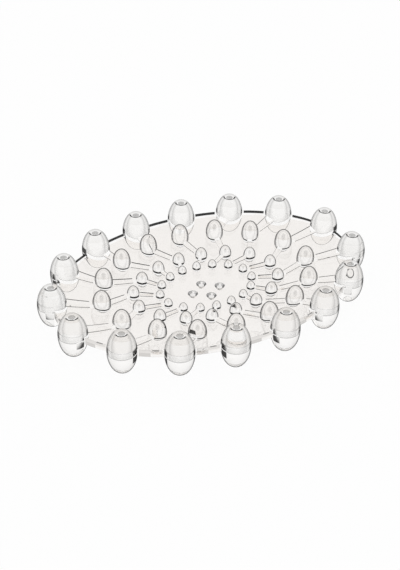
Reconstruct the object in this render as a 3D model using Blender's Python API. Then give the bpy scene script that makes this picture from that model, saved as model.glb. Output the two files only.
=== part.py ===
# A clear soap dish: a shallow elliptical saucer with sixteen egg-shaped drops round its rim,
# and sixteen ribs inside that each carry three smaller drops. Every drop goes on below the
# saucer. Metres, +Z up, standing on z = 0 with the saucer's centre on the Z axis and its long
# axis along X.

import math

import bmesh
import bpy
import numpy as np
from mathutils import Matrix, Vector

# Every ring of drops is an ellipse, given by its length along X and its width along Y.
DROPS_PER_RING = 16
RIM_RING_LENGTH = 0.1325
RIM_RING_WIDTH = 0.0917
MID_RING_LENGTH = 0.0916
MID_RING_WIDTH = 0.0680
SMALL_RING_LENGTH = 0.0644
SMALL_RING_WIDTH = 0.0427
TINY_RING_LENGTH = 0.0410
TINY_RING_WIDTH = 0.0290
STUD_RING_LENGTH = 0.0127
STUD_RING_WIDTH = 0.0092

# How far the drops of each inner ring are turned from the rim's, in degrees of a lap.
MID_RING_TURN = 4.5
SMALL_RING_TURN = -6.5
TINY_RING_TURN = 2.0

# The saucer. Its edge runs through the centres of the rim drops, and it thickens towards it.
PLATE_RIM_THICKNESS = 0.0034
PLATE_CENTRE_THICKNESS = 0.0023
THICKNESS_CURVE = 3.0
DISH_DEPTH = 0.0067
DISH_CURVE = 2.8
RIM_RISE = 0.0015
EDGE_BEVEL = 0.0004

# The rim drops, before their ends are cut flat.
RIM_DROP_DIAMETER = 0.0119
RIM_DROP_HALF_HEIGHT = 0.00976
RIM_DROP_LOWER_FULLNESS = 0.86
TIP_DIMPLE_DIAMETER = 0.0055
TIP_DIMPLE_FLOOR_DIAMETER = 0.0028
TIP_DIMPLE_DEPTH = 0.0005
FOOT_FLAT_DIAMETER = 0.0029

# The drops on the ribs are whole eggs. Each stands above the saucer by its rise, and its lower
# end comes out underneath.
MID_DROP_DIAMETER = 0.0075
MID_DROP_HEIGHT = 0.0120
MID_DROP_RISE = 0.0074
SMALL_DROP_DIAMETER = 0.0053
SMALL_DROP_HEIGHT = 0.0085
SMALL_DROP_RISE = 0.0043
TINY_DROP_DIAMETER = 0.0038
TINY_DROP_HEIGHT = 0.0061
TINY_DROP_RISE = 0.0030

# The faceted studs under the saucer.
STUD_COUNT = 4
STUD_DIAMETER = 0.0044
STUD_FOOT_DIAMETER = 0.0024
STUD_HEIGHT = 0.0016

# The ribs taper from the rim to the innermost drop.
RIB_HEIGHT = 0.0012
RIB_WIDTH_AT_RIM = 0.0048
RIB_WIDTH_AT_MID = 0.0026
RIB_WIDTH_AT_SMALL = 0.0018
RIB_WIDTH_AT_TINY = 0.0010

# Clear space left for the cement between two pieces.
CEMENT_GAP = 0.0003

# How far an inner drop's lower end reaches up into the saucer that it is one piece with.
DROP_OVERLAP = 0.0004

# Points of one surface closer than this are one point.
WELD_DISTANCE = 0.00002

# Edges sharper than this, in degrees, are drawn sharp on a rounded piece and on a faceted one.
ROUND_CREASE = 40.0
STUD_CREASE = 10.0

# Facets.
PLATE_SEGMENTS = 64
PLATE_RINGS = (0.2, 0.4, 0.55, 0.7, 0.82, 0.92)
RIM_DROP_SEGMENTS = 16
RIM_DROP_UPPER_ROWS = 5
RIM_DROP_LOWER_ROWS = 6
RIB_STEPS = 3
INNER_DROP_SEGMENTS = (12, 12, 8)
INNER_DROP_UPPER_ROWS = (5, 4, 4)
INNER_DROP_LOWER_ROWS = (3, 3, 2)
STUD_FACETS = 10
ELLIPSE_SAMPLES = 2881


def clear_scene():
    for item in list(bpy.data.objects):
        bpy.data.objects.remove(item, do_unlink=True)


def clear_plastic(name, tint, roughness):
    material = bpy.data.materials.new(name)
    material.use_nodes = True
    shader = material.node_tree.nodes["Principled BSDF"]
    shader.inputs["Base Color"].default_value = (*tint, 1.0)
    shader.inputs["Roughness"].default_value = roughness
    shader.inputs["Metallic"].default_value = 0.0
    shader.inputs["IOR"].default_value = 1.49
    shader.inputs["Transmission Weight"].default_value = 1.0
    return material


# Layout

def ring_places(length, width, count, turn=0.0, first=0.5):
    # Evenly spaced along the ellipse's outline, counted anticlockwise from +X.
    angle = np.linspace(0.0, 2.0 * math.pi, ELLIPSE_SAMPLES)
    across = length / 2 * np.cos(angle)
    along = width / 2 * np.sin(angle)
    run = np.concatenate([[0.0], np.cumsum(np.hypot(np.diff(across), np.diff(along)))])
    share = (np.arange(count) + first) / count + turn / 360.0
    place = np.interp(share % 1.0 * run[-1], run, angle)
    return [Vector((length / 2 * math.cos(a), width / 2 * math.sin(a))) for a in place]


def rim_outward(place):
    # The direction square to the rim's ellipse, pointing away from the centre.
    return Vector((place.x / (RIM_RING_LENGTH / 2) ** 2, place.y / (RIM_RING_WIDTH / 2) ** 2)).normalized()


def foot_angle():
    # Where the lower egg is as narrow as its foot flat, as an angle below its widest section.
    return math.acos((FOOT_FLAT_DIAMETER / RIM_DROP_DIAMETER) ** (1.0 / RIM_DROP_LOWER_FULLNESS))


def widest_height():
    # The rim drops' widest section, above the surface that the feet stand on.
    return RIM_DROP_HALF_HEIGHT * math.sin(foot_angle())


def rim_share(x, y):
    # 0 at the saucer's centre, 1 all along its edge.
    return math.hypot(x / (RIM_RING_LENGTH / 2), y / (RIM_RING_WIDTH / 2))


def thickness(x, y):
    gain = PLATE_RIM_THICKNESS - PLATE_CENTRE_THICKNESS
    return PLATE_CENTRE_THICKNESS + gain * rim_share(x, y) ** THICKNESS_CURVE


def floor_top(x, y):
    # The saucer's upper face: lowest at the centre, rising to its rim.
    return widest_height() + RIM_RISE - DISH_DEPTH * (1.0 - rim_share(x, y) ** DISH_CURVE)


def floor_bottom(x, y):
    return floor_top(x, y) - thickness(x, y)


# Meshes

def add_object(name, mesh, material=None, place=(0.0, 0.0, 0.0), turn=0.0):
    item = bpy.data.objects.new(name, mesh)
    item.location = place
    item.rotation_euler = (0.0, 0.0, turn)
    if material:
        mesh.materials.clear()
        mesh.materials.append(material)
    bpy.context.scene.collection.objects.link(item)
    return item


def smooth(mesh, crease=ROUND_CREASE):
    mesh.shade_smooth()
    mesh.set_sharp_from_angle(angle=math.radians(crease))


def mesh_from(bm, name):
    bmesh.ops.recalc_face_normals(bm, faces=bm.faces)
    mesh = bpy.data.meshes.new(name)
    bm.to_mesh(mesh)
    bm.free()
    return mesh


def turned(profile, segments, name):
    # A profile of (radius, height) pairs, from axis to axis, spun round the Z axis.
    bm = bmesh.new()
    points = [bm.verts.new((radius, 0.0, height)) for radius, height in profile]
    edges = [bm.edges.new(pair) for pair in zip(points, points[1:])]
    bmesh.ops.spin(
        bm, geom=points + edges, cent=(0, 0, 0), axis=(0, 0, 1),
        angle=2.0 * math.pi, steps=segments, use_duplicate=False,
    )
    bmesh.ops.remove_doubles(bm, verts=bm.verts, dist=WELD_DISTANCE)
    return mesh_from(bm, name)


def bridged(loops, name):
    # Rings of points of equal count, joined in turn and closed at both ends.
    bm = bmesh.new()
    rings = [[bm.verts.new(point) for point in loop] for loop in loops]
    for low, high in zip(rings, rings[1:]):
        for i in range(len(low)):
            j = (i + 1) % len(low)
            bm.faces.new((low[i], low[j], high[j], high[i]))
    bm.faces.new(rings[0])
    bm.faces.new(rings[-1])
    return mesh_from(bm, name)


def combine(item, helper, operation):
    # The helper is cut from the item, or joined to it, and then removed.
    step = item.modifiers.new(operation.lower(), "BOOLEAN")
    step.operation = operation
    step.solver = "EXACT"
    step.object = helper
    bpy.context.view_layer.update()
    view = bpy.context.evaluated_depsgraph_get()
    result = bpy.data.meshes.new_from_object(item.evaluated_get(view))
    item.modifiers.clear()
    bm = bmesh.new()
    bm.from_mesh(result)
    bmesh.ops.remove_doubles(bm, verts=bm.verts, dist=WELD_DISTANCE)
    bm.to_mesh(result)
    bm.free()
    item.data = result
    bpy.data.objects.remove(helper, do_unlink=True)


def settled(mesh, place, surface, rest, rise):
    # A turned drop leans its base onto the sloping surface, and its far end stays level.
    level = surface(place.x, place.y)
    for vert in mesh.vertices:
        x = place.x + vert.co.x
        y = place.y + vert.co.y
        lean = (surface(x, y) - level) * (1.0 - abs(vert.co.z) / rise)
        vert.co = (x, y, level + rest + vert.co.z + lean)
    return mesh


# The inner drops

def inner_rings():
    # The places, diameter, height, rise, segments and rows of each ring of inner drops.
    rings = (
        (MID_RING_LENGTH, MID_RING_WIDTH, MID_RING_TURN),
        (SMALL_RING_LENGTH, SMALL_RING_WIDTH, SMALL_RING_TURN),
        (TINY_RING_LENGTH, TINY_RING_WIDTH, TINY_RING_TURN),
    )
    eggs = (
        (MID_DROP_DIAMETER, MID_DROP_HEIGHT, MID_DROP_RISE),
        (SMALL_DROP_DIAMETER, SMALL_DROP_HEIGHT, SMALL_DROP_RISE),
        (TINY_DROP_DIAMETER, TINY_DROP_HEIGHT, TINY_DROP_RISE),
    )
    rows = zip(INNER_DROP_SEGMENTS, INNER_DROP_UPPER_ROWS, INNER_DROP_LOWER_ROWS)
    found = []
    for (length, width, lap), egg, facets in zip(rings, eggs, rows):
        found.append((ring_places(length, width, DROPS_PER_RING, lap), *egg, *facets))
    return found


def egg_part(diameter, height, rise, cut, rows, side):
    # The part of an egg above the cut (side 1) or below it (side -1), closed at the cut. The
    # egg's tip is at height rise.
    half = height / 2
    centre = rise - half
    start = math.asin((cut - centre) / half)
    points = [(0.0, cut)]
    for row in range(rows):
        angle = start + (side * math.pi / 2 - start) * row / rows
        points.append((diameter / 2 * math.cos(angle), centre + half * math.sin(angle)))
    return points + [(0.0, centre + side * half)]


# The saucer

def lower_drops():
    # The lower ends of all the inner drops, in one mesh, each reaching up into the saucer.
    bm = bmesh.new()
    for places, diameter, height, rise, segments, _, rows in inner_rings():
        for place in places:
            # Heights are taken from the saucer's underside here.
            lift = rise + thickness(place.x, place.y)
            profile = egg_part(diameter, height, lift, DROP_OVERLAP, rows, -1)
            egg = turned(profile, segments, "lower_drop")
            bm.from_mesh(settled(egg, place, floor_bottom, 0.0, height))
    mesh = bpy.data.meshes.new("lower_drops")
    bm.to_mesh(mesh)
    bm.free()
    return mesh


def build_plate(material):
    edge = ring_places(RIM_RING_LENGTH, RIM_RING_WIDTH, PLATE_SEGMENTS, first=0.0)

    def loop(share, inset, surface, lift):
        points = [place * share - rim_outward(place) * inset for place in edge]
        return [Vector((p.x, p.y, surface(p.x, p.y) + lift)) for p in points]

    upper = [loop(share, 0.0, floor_top, 0.0) for share in PLATE_RINGS]
    lower = [loop(share, 0.0, floor_bottom, 0.0) for share in PLATE_RINGS]
    side = [
        loop(1.0, EDGE_BEVEL, floor_top, 0.0),
        loop(1.0, 0.0, floor_top, -EDGE_BEVEL),
        loop(1.0, 0.0, floor_bottom, EDGE_BEVEL),
        loop(1.0, EDGE_BEVEL, floor_bottom, 0.0),
    ]
    plate = add_object("dish_plate", bridged(upper + side + lower[::-1], "dish_plate"), material)
    combine(plate, add_object("lower_drops", lower_drops()), "UNION")
    smooth(plate.data)


# The rim drops

def rim_drop_profile():
    foot = foot_angle()
    tip = math.acos(TIP_DIMPLE_DIAMETER / RIM_DROP_DIAMETER)
    radius = RIM_DROP_DIAMETER / 2
    points = [(0.0, -RIM_DROP_HALF_HEIGHT * math.sin(foot))]
    for row in range(RIM_DROP_LOWER_ROWS):
        angle = foot * (1.0 - row / RIM_DROP_LOWER_ROWS)
        width = radius * math.cos(angle) ** RIM_DROP_LOWER_FULLNESS
        points.append((width, -RIM_DROP_HALF_HEIGHT * math.sin(angle)))
    for row in range(RIM_DROP_UPPER_ROWS + 1):
        angle = tip * row / RIM_DROP_UPPER_ROWS
        points.append((radius * math.cos(angle), RIM_DROP_HALF_HEIGHT * math.sin(angle)))
    dimple = points[-1][1] - TIP_DIMPLE_DEPTH
    return points + [(TIP_DIMPLE_FLOOR_DIAMETER / 2, dimple), (0.0, dimple)]


def jaw(place, side):
    # What a rim drop's upper half (side 1) or lower half (side -1) leaves free: the plate's edge,
    # the cement round it, and the other half. Cut in the drop's own frame, +X pointing outward.
    reach = RIM_DROP_DIAMETER
    inner = place - rim_outward(place) * RIM_DROP_DIAMETER / 2
    surface = floor_top if side > 0 else floor_bottom
    slope = (surface(place.x, place.y) - surface(inner.x, inner.y)) / (RIM_DROP_DIAMETER / 2)
    face = surface(place.x, place.y) - widest_height()
    step = face + side * CEMENT_GAP
    seam = side * CEMENT_GAP / 2
    far = -side * 2.0 * RIM_DROP_HALF_HEIGHT
    outline = [
        (-reach, step - slope * reach),
        (CEMENT_GAP, step + slope * CEMENT_GAP),
        (CEMENT_GAP, seam),
        (reach, seam),
        (reach, far),
        (-reach, far),
    ]
    ends = [[Vector((x, y, z)) for x, z in outline] for y in (-reach, reach)]
    return bridged(ends, "jaw")


def build_rim_drops(upper_material, lower_material):
    places = ring_places(RIM_RING_LENGTH, RIM_RING_WIDTH, DROPS_PER_RING)
    height = widest_height()
    for number, place in enumerate(places, 1):
        outward = rim_outward(place)
        turn = math.atan2(outward.y, outward.x)
        centre = (place.x, place.y, height)
        for part, side, material in (("upper", 1, upper_material), ("lower", -1, lower_material)):
            name = f"rim_drop_{part}_{number:02d}"
            whole = turned(rim_drop_profile(), RIM_DROP_SEGMENTS, name)
            drop = add_object(name, whole, material, centre, turn)
            cutter = add_object("cutter", jaw(place, side), None, centre, turn)
            combine(drop, cutter, "DIFFERENCE")
            smooth(drop.data)


# The ribs and their drops

def round_bar(radius, reach):
    # A plain upright cylinder, from below its centre to above it.
    profile = [(0.0, reach), (radius, reach), (radius, -reach), (0.0, -reach)]
    return turned(profile, 2 * RIM_DROP_SEGMENTS, "round_bar")


def rib_mesh(stops, widths):
    # A low bar through the stops, following the saucer's upper face.
    spots = []
    for start, end, wide, narrow in zip(stops, stops[1:], widths, widths[1:]):
        for step in range(RIB_STEPS):
            share = step / RIB_STEPS
            spots.append((start.lerp(end, share), wide + (narrow - wide) * share))
    spots.append((stops[-1], widths[-1]))
    loops = []
    for index, (spot, width) in enumerate(spots):
        before = spots[max(index - 1, 0)][0]
        after = spots[min(index + 1, len(spots) - 1)][0]
        ahead = (after - before).normalized()
        side = Vector((-ahead.y, ahead.x)) * width / 2
        left = spot + side
        right = spot - side
        loops.append([
            Vector((left.x, left.y, floor_top(left.x, left.y) + CEMENT_GAP)),
            Vector((right.x, right.y, floor_top(right.x, right.y) + CEMENT_GAP)),
            Vector((right.x, right.y, floor_top(right.x, right.y) + RIB_HEIGHT)),
            Vector((left.x, left.y, floor_top(left.x, left.y) + RIB_HEIGHT)),
        ])
    return bridged(loops, "rib")


def build_rays(material):
    rim = ring_places(RIM_RING_LENGTH, RIM_RING_WIDTH, DROPS_PER_RING)
    rings = inner_rings()
    widths = (RIB_WIDTH_AT_RIM, RIB_WIDTH_AT_MID, RIB_WIDTH_AT_SMALL, RIB_WIDTH_AT_TINY)
    # The drops stand a hair above the rib's underside, inside the rib's own thickness.
    base = CEMENT_GAP + 0.1 * (RIB_HEIGHT - CEMENT_GAP)
    for number, stops in enumerate(zip(rim, *[ring[0] for ring in rings]), 1):
        ray = add_object(f"drop_ray_{number:02d}", rib_mesh(stops, widths), material)
        for start, place, ring in zip(stops, stops[1:], rings):
            _, diameter, height, rise, segments, rows, _ = ring
            # Turned so that a facet, and not an edge between facets, faces along the rib.
            heading = math.atan2(place.y - start.y, place.x - start.x) + math.pi / segments
            egg = turned(egg_part(diameter, height, rise, base, rows, 1), segments, "drop")
            egg.transform(Matrix.Rotation(heading, 4, "Z"))
            combine(ray, add_object("drop", settled(egg, place, floor_top, 0.0, rise)), "UNION")
        clear = round_bar(RIM_DROP_DIAMETER / 2 + CEMENT_GAP, RIM_DROP_HALF_HEIGHT)
        centre = (stops[0].x, stops[0].y, widest_height())
        combine(ray, add_object("clear", clear, None, centre), "DIFFERENCE")
        ray.data.materials.clear()
        ray.data.materials.append(material)
        smooth(ray.data)


# The studs under the plate

def build_studs(material):
    places = ring_places(STUD_RING_LENGTH, STUD_RING_WIDTH, STUD_COUNT, first=0.0)
    for number, place in enumerate(places, 1):
        foot = CEMENT_GAP - STUD_HEIGHT
        profile = [(0.0, 0.0), (STUD_DIAMETER / 2, 0.0), (STUD_FOOT_DIAMETER / 2, foot), (0.0, foot)]
        mesh = turned(profile, STUD_FACETS, "stud")
        settled(mesh, place, floor_bottom, -CEMENT_GAP, STUD_HEIGHT)
        smooth(mesh, STUD_CREASE)
        add_object(f"centre_stud_{number}", mesh, material)


def main():
    clear_scene()
    plate = clear_plastic("clear_plate", (0.93, 0.92, 0.91), 0.03)
    drops = clear_plastic("clear_drops", (0.96, 0.96, 0.95), 0.02)
    feet = clear_plastic("clear_feet", (0.96, 0.95, 0.94), 0.02)
    rays = clear_plastic("clear_rays", (0.94, 0.94, 0.93), 0.02)
    build_plate(plate)
    build_rim_drops(drops, feet)
    build_rays(rays)
    build_studs(plate)


main()
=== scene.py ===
# Dresses the clear soap dish: every solid of the frame gets its smooth, moulded form in clear
# plastic, and where two pieces are cemented the light passes on as through one casting.
# Metres, in the frame's own axes: +X along the dish, +Z up, the feet on z = 0.
import math
from collections import namedtuple

import bpy
import numpy as np
from mathutils import Matrix, Vector
from mathutils.geometry import delaunay_2d_cdt


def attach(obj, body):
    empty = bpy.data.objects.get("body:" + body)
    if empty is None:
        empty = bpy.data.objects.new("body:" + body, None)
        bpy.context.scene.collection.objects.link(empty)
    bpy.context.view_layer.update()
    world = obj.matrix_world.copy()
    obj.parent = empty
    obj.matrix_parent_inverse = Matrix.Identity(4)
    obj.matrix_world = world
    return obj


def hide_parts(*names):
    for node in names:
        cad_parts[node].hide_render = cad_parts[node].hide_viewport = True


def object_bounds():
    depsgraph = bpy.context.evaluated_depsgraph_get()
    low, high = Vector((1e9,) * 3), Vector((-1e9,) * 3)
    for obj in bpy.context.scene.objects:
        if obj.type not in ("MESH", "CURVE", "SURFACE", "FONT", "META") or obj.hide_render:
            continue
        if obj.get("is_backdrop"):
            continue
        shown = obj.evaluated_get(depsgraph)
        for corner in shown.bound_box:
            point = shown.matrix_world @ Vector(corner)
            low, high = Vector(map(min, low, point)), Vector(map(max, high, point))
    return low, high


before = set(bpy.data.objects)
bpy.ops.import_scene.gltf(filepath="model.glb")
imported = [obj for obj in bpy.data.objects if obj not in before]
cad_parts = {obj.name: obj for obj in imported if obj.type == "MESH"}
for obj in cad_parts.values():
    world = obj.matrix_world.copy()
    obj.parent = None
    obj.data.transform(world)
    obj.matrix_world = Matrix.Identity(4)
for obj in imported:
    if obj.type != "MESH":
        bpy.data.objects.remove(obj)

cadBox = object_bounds()
scene = bpy.context.scene
mm = 0.001
sameNumber = 0.5  # where nodes compare whole numbers, two closer than this are the same


# Node building

class Wire:  # one output socket, with the operators that the trees below use
    def __init__(self, tree, socket):
        self.tree = tree
        self.socket = socket

    def maths(self, operation, *values):
        inputs = dict(enumerate(values or [self]))
        return addNode(self.tree, "ShaderNodeMath", {"operation": operation}, inputs)

    def __add__(self, other):
        return self.maths("ADD", self, other)

    def __radd__(self, other):
        return self.maths("ADD", other, self)

    def __sub__(self, other):
        return self.maths("SUBTRACT", self, other)

    def __rsub__(self, other):
        return self.maths("SUBTRACT", other, self)

    def __mul__(self, other):
        return self.maths("MULTIPLY", self, other)

    def __rmul__(self, other):
        return self.maths("MULTIPLY", other, self)

    def __truediv__(self, other):
        return self.maths("DIVIDE", self, other)

    def __pow__(self, other):
        return self.maths("POWER", self, other)


def addNode(tree, kind, settings=None, inputs=None, output=0):
    # Settings first, among them a ramp's stops, then the values or links of the sockets.
    node = tree.nodes.new(kind)
    for key, value in (settings or {}).items():
        if key == "stops":
            elements = node.color_ramp.elements
            elements.remove(elements[0])
            for index, (position, level) in enumerate(value.items()):
                spot = elements[0] if index == 0 else elements.new(position)
                spot.position = position
                spot.color = (level, level, level, 1.0)
        else:
            setattr(node, key, value)
    for key, value in (inputs or {}).items():
        if isinstance(value, Wire):
            tree.links.new(value.socket, node.inputs[key])
        else:
            node.inputs[key].default_value = value
    return Wire(tree, node.outputs[output])


def mixShaders(tree, share, first, second):
    return addNode(tree, "ShaderNodeMixShader", inputs={0: share, 1: first, 2: second})


def newTree(holder):
    holder.use_nodes = True
    holder.node_tree.nodes.clear()
    return holder.node_tree


def finish(tree, surface, kind="Material"):
    end = tree.nodes.new("ShaderNodeOutput" + kind)
    tree.links.new(surface.socket, end.inputs["Surface"])


# Materials

clearLook = {
    "ior": 1.49,
    "waveScale": 160.0,  # the faint unevenness of a moulded surface
    "waveHeight": 0.012 * mm,
    "cloudScale": 40.0,  # and of its tint
    "cloudDepth": 0.012,
    "echoDepth": 3.5,  # a ray turned more often than this goes straight on, so that no echo shows
    "straightOn": {0: 0, 0.20: 0, 0.25: 1, 1: 1},  # share that passes from inside, by the ray's lean
    "passTint": 0.25,  # the tint is raised to this power for such a ray, which takes on less of it
}
tints = {
    "top": (0.990, 0.985, 0.980),
    "under": (0.815, 0.768, 0.724),
    "edge": (0.898, 0.870, 0.842),
    "drop": (0.888, 0.877, 0.860),
    "foot": (0.985, 0.975, 0.962),
    "end": (0.940, 0.925, 0.910),
    "egg": (0.965, 0.960, 0.953),
}

# Painted shade: how much of a wall is blended to black for a ray that comes from outside or from inside,
# by the ray's lean: 0 is square on, 1 is along the wall. Several finishes share the first ones.
noPaintedShade = {0: 0, 1: 0}
inDrop = {0: 0, 0.45: 0, 0.70: 0.20, 1: 0.50}
inRib = {0: 0, 0.28: 0, 0.33: 0.95, 0.68: 0.95, 0.78: 0.15, 1: 0.15}
atFoot = {0: 0, 0.20: 0, 0.30: 0.02, 0.42: 0.06, 0.64: 0.18, 0.74: 0.60, 0.84: 0.88, 1: 0.95}
inFoot = {0: 0, 0.55: 0, 1: 0.40}
atBase = {0: 0, 0.09: 0, 0.15: 0.97, 0.50: 0.97, 0.62: 0.40, 1: 0.60}
atEdge = {0: 0.25, 0.60: 0.27, 1: 0.40}
inEdge = {0: 0, 0.26: 0, 0.29: 1, 0.62: 1, 0.70: 0.60, 1: 0.60}
inPaleEdge = inEdge | {0.70: 0.30, 1: 0.30}
inStud = {0: 0, 0.24: 0.16, 0.44: 0.86, 1: 0.92}
# Finishes with an outside or inside ramp, or with darker, carry painted shade: dark outlines, lines, bands
# and patches that stand for the dark surroundings seen in the clear plastic.
finishes = {
    "clearPlate": {"tint": "top"},
    "clearUnder": {"tint": "under"},
    "clearDrop": {"tint": "drop", "inside": inDrop, "outside": {
        0: 0, 0.13: 0, 0.20: 0.09, 0.29: 0.29, 0.34: 0.18, 0.41: 0.08, 0.50: 0.18, 0.60: 0.40,
        0.80: 0.54, 1: 0.70}},
    "clearWaist": {"tint": "drop", "inside": inDrop, "outside": {
        0: 0, 0.10: 0, 0.20: 0.12, 0.30: 0.22, 0.39: 0.28, 0.46: 0.12, 0.54: 0.24, 0.62: 0.74,
        0.80: 0.92, 1: 0.97}},
    # Painted shade on the rim drops: the soft band, the ledge's line, the line along the groove and round
    # the foot's flat, and the slot's mouths.
    "seamShade": {"tint": "drop", "outside": {
        0: 0.10, 0.10: 0.14, 0.20: 0.22, 0.34: 0.42, 0.42: 0.32, 0.52: 0.60, 0.70: 0.82, 1: 0.90}},
    "ledgeShadeLine": {"tint": "drop", "outside": {0: 0.40, 0.5: 0.60, 1: 0.85}},
    "dropShadeLine": {"tint": "drop", "outside": {0: 0.32, 0.4: 0.50, 0.6: 0.75, 1: 0.85}},
    "slotMouth": {"tint": "drop", "outside": {0: 0, 0.28: 0.12, 0.40: 0.92, 1: 0.96}},
    # The dimple's floor and wall are darkened: painted shade in the hollow.
    "dimpleFloor": {"tint": "drop", "darker": 0.32},
    "dimpleWall": {"tint": "drop", "outside": {0: 0, 0.44: 0, 0.52: 0.90, 1: 0.95}},
    "clearFoot": {"tint": "foot", "inside": inFoot, "outside": atFoot},
    "clearInner": {"tint": "foot", "outside": {0: 0, 0.74: 0, 0.81: 0.80, 1: 0.95}},
    # Its outside ramp also paints a faint smudge of painted shade where the wall faces the ray squarely.
    "clearEgg": {"tint": "egg", "inside": inDrop, "outside": {
        0: 0.20, 0.015: 0.18, 0.05: 0, 0.14: 0, 0.22: 0.16, 0.30: 0.02, 0.38: 0.06, 0.52: 0.55,
        0.70: 0.85, 1: 0.95}},
    # A painted shade line round each standing egg's base and under each lower cup.
    "eggBase": {"tint": "drop", "outside": atBase},
    "clearEnd": {"tint": "end", "inside": inFoot, "outside": atFoot, "underPlate": True},
    "cupShadeLine": {"tint": "end", "underPlate": True, "outside": {
        0: 0, 0.09: 0, 0.15: 0.70, 0.60: 0.70, 1: 0.50}},
    # The plate's edge finishes are painted shade: its dark line, dash, band and greyer stretches.
    "rimWall": {"tint": "edge", "inside": inEdge, "outside": {0: 0.14, 0.60: 0.14, 1: 0.30}},
    "rimShadeDash": {"tint": "edge", "inside": inEdge, "outside": {0: 0.60, 1: 0.70}},
    "rimShadeLine": {"tint": "edge", "darker": 0.62},
    "rimShadeBand": {"tint": "edge", "inside": inPaleEdge, "outside": atEdge},
    "rimBare": {"tint": "edge", "inside": inPaleEdge, "outside": {0: 0, 0.60: 0, 1: 0.20}},
    "rimPaleShade": {"tint": "edge", "outside": atEdge},
    "ribWall": {"tint": "edge", "inside": inRib},
    "ribFoot": {"tint": "edge", "inside": inRib, "outside": atBase},
    "ribCrest": {"tint": "edge", "outside": {0: 0, 0.46: 0, 0.54: 0.60, 0.65: 0.90, 1: 0.95}},
    "clearStud": {"tint": "edge", "inside": inStud},
    "studFacet": {"tint": "edge", "inside": inStud, "darker": 0.22},
}


def clearPlastic(name, tint, outside=None, inside=None, darker=1.0, underPlate=False):
    material = bpy.data.materials.new(name)
    tree = newTree(material)
    place = addNode(tree, "ShaderNodeTexCoord", output="Object")
    cloud = addNode(tree, "ShaderNodeTexNoise", inputs={
        "Vector": place, "Scale": clearLook["cloudScale"], "Detail": 1.0})
    wave = addNode(tree, "ShaderNodeTexNoise", inputs={
        "Vector": place, "Scale": clearLook["waveScale"], "Detail": 0.0})
    bump = addNode(tree, "ShaderNodeBump", inputs={
        "Strength": 1.0, "Distance": clearLook["waveHeight"], "Height": wave})
    # darker scales the tint down: painted shade for the darkest finishes
    plain = [value * darker for value in tints[tint]]
    deep = [value * (1.0 - clearLook["cloudDepth"]) for value in plain]
    faint = [value ** clearLook["passTint"] for value in plain]
    colour = addNode(tree, "ShaderNodeMix", {"data_type": "RGBA"}, {  # sockets 6 and 7 are its colours
        0: cloud, 6: (*plain, 1.0), 7: (*deep, 1.0)}, output=2)
    shader = addNode(tree, "ShaderNodeBsdfPrincipled", inputs={
        "Base Color": colour, "Roughness": 0.0, "IOR": clearLook["ior"], "Transmission Weight": 1.0,
        "Normal": bump})
    lean = addNode(tree, "ShaderNodeLayerWeight", inputs={"Blend": 0.5}, output="Facing")
    within = addNode(tree, "ShaderNodeNewGeometry", output="Backfacing")
    turns = addNode(tree, "ShaderNodeLightPath", output="Ray Depth")

    def ramp(stops):
        return addNode(tree, "ShaderNodeValToRGB", {"stops": stops}, {0: lean})

    straight = addNode(tree, "ShaderNodeBsdfTransparent", inputs={"Color": (*faint, 1.0)})
    shader = mixShaders(tree, ramp(clearLook["straightOn"]) * within, shader, straight)
    if outside or inside:
        # Painted shade: the wall is blended towards black by the ray's lean, from outside or from inside.
        paintedShade = ramp(outside or noPaintedShade) * (1.0 - within) + ramp(inside or noPaintedShade) * within
        if underPlate:
            # Only a ray that went straight on through the plate's wall gets here after a single turn.
            paintedShade = paintedShade * (1.0 - turns.maths("COMPARE", turns, 1.0, sameNumber))
        dark = addNode(tree, "ShaderNodeBsdfDiffuse", inputs={"Color": (0.0, 0.0, 0.0, 1.0)})
        shader = mixShaders(tree, paintedShade, shader, dark)
    late = turns.maths("GREATER_THAN", turns, clearLook["echoDepth"])
    finish(tree, mixShaders(tree, late, shader, addNode(tree, "ShaderNodeBsdfTransparent")))
    return material


def cementBond():
    # Where two pieces are cemented, light goes straight on, as inside one casting.
    material = bpy.data.materials.new("cementBond")
    tree = newTree(material)
    finish(tree, addNode(tree, "ShaderNodeBsdfTransparent"))
    return material


plastic = {name: clearPlastic(name, **look) for name, look in finishes.items()}
plastic["bond"] = cementBond()
print("materials:", len(plastic))


# The dish's layout

dish = {
    "length": 132.5 * mm,  # the plate's edge runs through the axes of the rim drops
    "width": 91.7 * mm,
    "rimThickness": 3.4 * mm,
    "centreThickness": 2.3 * mm,
    "thicknessCurve": 3.0,
    "depth": 6.7 * mm,
    "curve": 2.8,
    "rise": 1.5 * mm,  # from the rim drops' widest section up to the plate's top edge
    "bevel": 0.4 * mm,
    "bevelSteps": 4,
    "band": 0.7 * mm,  # height of the band of painted shade that the edge has below that widest section
    "drops": 16,
}
rings = {  # turn is how far its places run ahead of the rim drops', in degrees of a full round
    "mid": {"length": 91.6 * mm, "width": 68.0 * mm, "turn": 4.5},
    "small": {"length": 64.4 * mm, "width": 42.7 * mm, "turn": -6.5},
    "tiny": {"length": 41.0 * mm, "width": 29.0 * mm, "turn": 2.0},
    "stud": {"length": 12.7 * mm, "width": 9.2 * mm, "turn": 0.0},
}
outlineSteps = 2880  # an ellipse's length is added up in so many steps
ringSteps = 1440  # and in so many where nodes do it
atCentre = 1e-6  # the least share of the way out from the centre at which a slope is worked out
halvings = 40
refits = 8  # rounds in which a drop's wall and the plate's face are fitted to each other


def between(first, second, share):
    return first * (1 - share) + second * share


def heading(angle):
    return np.array([math.cos(angle), math.sin(angle)])


def unit(vectors):
    return vectors / np.linalg.norm(vectors, axis=-1, keepdims=True)


def circle(centre, radius, count):
    return [centre + radius * heading(math.tau * step / count) for step in range(count)]


def ellipse(size, angle):
    return np.stack([size["length"] / 2 * np.cos(angle), size["width"] / 2 * np.sin(angle)], -1)


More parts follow.
